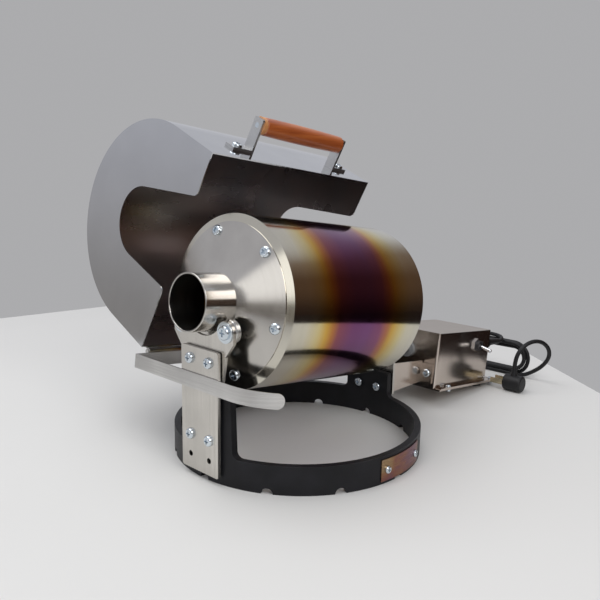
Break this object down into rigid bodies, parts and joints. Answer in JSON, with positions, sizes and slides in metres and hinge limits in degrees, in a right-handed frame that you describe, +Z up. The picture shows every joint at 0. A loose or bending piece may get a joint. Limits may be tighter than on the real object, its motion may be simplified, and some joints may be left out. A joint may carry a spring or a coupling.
{
  "type": "electric drum roaster",
  "caption": "Tilted steel drum turned by a geared motor on a burner ring stand, with a hinged sheet-metal hood, wooden handle, neck rollers, toggle switch and mains lead.",
  "frame": {"origin": "centre of the ring stand on the surface it stands on", "axes": "+X to the right seen from the loading neck, +Y along the machine to the motor box and the lead, +Z up; the drum axis leans 6.8 degrees, rear end down"},
  "size_m": [0.3267, 0.5062, 0.3068],
  "materials": {
    "black_paint": "satin black heat-resistant paint",
    "post_steel": "brushed stainless, lightly scratched",
    "band_steel": "cold-rolled stainless strip",
    "hood_sheet": "bright stainless outside, browned inside by use",
    "drum_steel": "stainless with straw, gold and purple heat tint",
    "badge_steel": "bare plate with heat tint",
    "zinc_screws": "bright zinc plate",
    "machined_steel": "turned bright steel",
    "bronze": "oiled bronze",
    "box_steel": "brushed stainless",
    "motor_grey": "grey paint",
    "strap_steel": "brushed stainless",
    "grip_wood": "red-brown varnished wood",
    "switch_plastic": "black",
    "switch_chrome": "bright nickel plate",
    "foot_rubber": "black rubber",
    "lead_rubber": "black rubber sheath",
    "plug_plastic": "black moulded",
    "blade_brass": "plain brass"
  },
  "bodies": {
    "stand": {"ring_stand": "black_paint", "front_post": "post_steel", "roller_saddle": "post_steel", "saddle_spacers": "post_steel", "rear_post": "post_steel", "motor_bracket": "post_steel", "hood_frame": "band_steel", "hinge_leaves_fixed": "band_steel", "hinge_pins": "band_steel", "badge_plate": "badge_steel", "badge_screws": "zinc_screws", "front_post_screws": "zinc_screws", "front_post_nuts": "zinc_screws", "roller_screws": "zinc_screws", "rear_post_screws": "zinc_screws", "rear_post_nuts": "zinc_screws", "bracket_bolts": "zinc_screws", "base_bolts": "zinc_screws", "roller_sleeves": "machined_steel", "bearing_block": "machined_steel", "rear_bushing": "bronze", "motor_box_cover": "box_steel", "motor_box_base": "box_steel", "gearmotor": "motor_grey", "toggle_switch": "switch_plastic", "toggle_nut": "switch_chrome", "rear_feet": "foot_rubber", "strain_relief": "lead_rubber", "lead_from_box": "lead_rubber", "lead_hank": "lead_rubber", "lead_to_plug": "lead_rubber", "plug_body": "plug_plastic", "plug_blades": "blade_brass"},
    "drum": {"drum_shell": "drum_steel", "drum_front_cone": "drum_steel", "neck_tube": "drum_steel", "cone_screws": "zinc_screws", "cone_nuts": "zinc_screws", "drum_rear_disc": "drum_steel", "rear_hub": "machined_steel", "hub_screws": "zinc_screws", "rear_spindle": "machined_steel", "stirring_vanes": "drum_steel", "drive_gear": "machined_steel"},
    "pinion": {"motor_pinion": "machined_steel"},
    "roller_left": {"roller_left": "machined_steel"},
    "roller_right": {"roller_right": "machined_steel"},
    "hood": {"hood_shell": "hood_sheet", "hood_front_plate": "hood_sheet", "hood_rear_plate": "hood_sheet", "hinge_leaves_moving": "band_steel", "handle_strap_front": "strap_steel", "handle_strap_rear": "strap_steel", "handle_strap_screws": "zinc_screws", "handle_strap_nuts": "zinc_screws", "handle_grip": "grip_wood", "handle_collar": "grip_wood", "handle_rod": "zinc_screws"},
    "toggle": {"toggle_lever": "switch_chrome"}
  },
  "joints": [
    {"name": "drum_spin", "type": "hinge", "parent": "stand", "child": "drum", "pos_m": [0, 0, 0.1387], "axis": [0, 0.993, -0.1184], "continuous": true},
    {"name": "hood_hinge", "type": "hinge", "parent": "stand", "child": "hood", "pos_m": [-0.0937, -0.00713, 0.07892], "axis": [0, 0.993, -0.1184], "range_deg": [0, 67.6]},
    {"name": "pinion_spin", "type": "hinge", "parent": "stand", "child": "pinion", "pos_m": [0, 0.15213, 0.06316], "axis": [0, 0.993, -0.1184], "continuous": true},
    {"name": "roller_left_spin", "type": "hinge", "parent": "stand", "child": "roller_left", "pos_m": [-0.0285, -0.11095, 0.13201], "axis": [0, 1, 0], "continuous": true},
    {"name": "roller_right_spin", "type": "hinge", "parent": "stand", "child": "roller_right", "pos_m": [0.0285, -0.11095, 0.13201], "axis": [0, 1, 0], "continuous": true},
    {"name": "toggle_flip", "type": "hinge", "parent": "stand", "child": "toggle", "pos_m": [0.044, 0.26913, 0.05623], "axis": [0, -0.993, 0.1184], "range_deg": [0, 28]}
  ],
  "couplings": [
    {"joint": "pinion_spin", "follows": "drum_spin", "ratio": -2.8},
    {"joint": "roller_left_spin", "follows": "drum_spin", "ratio": -2.43},
    {"joint": "roller_right_spin", "follows": "drum_spin", "ratio": -2.43}
  ]
}
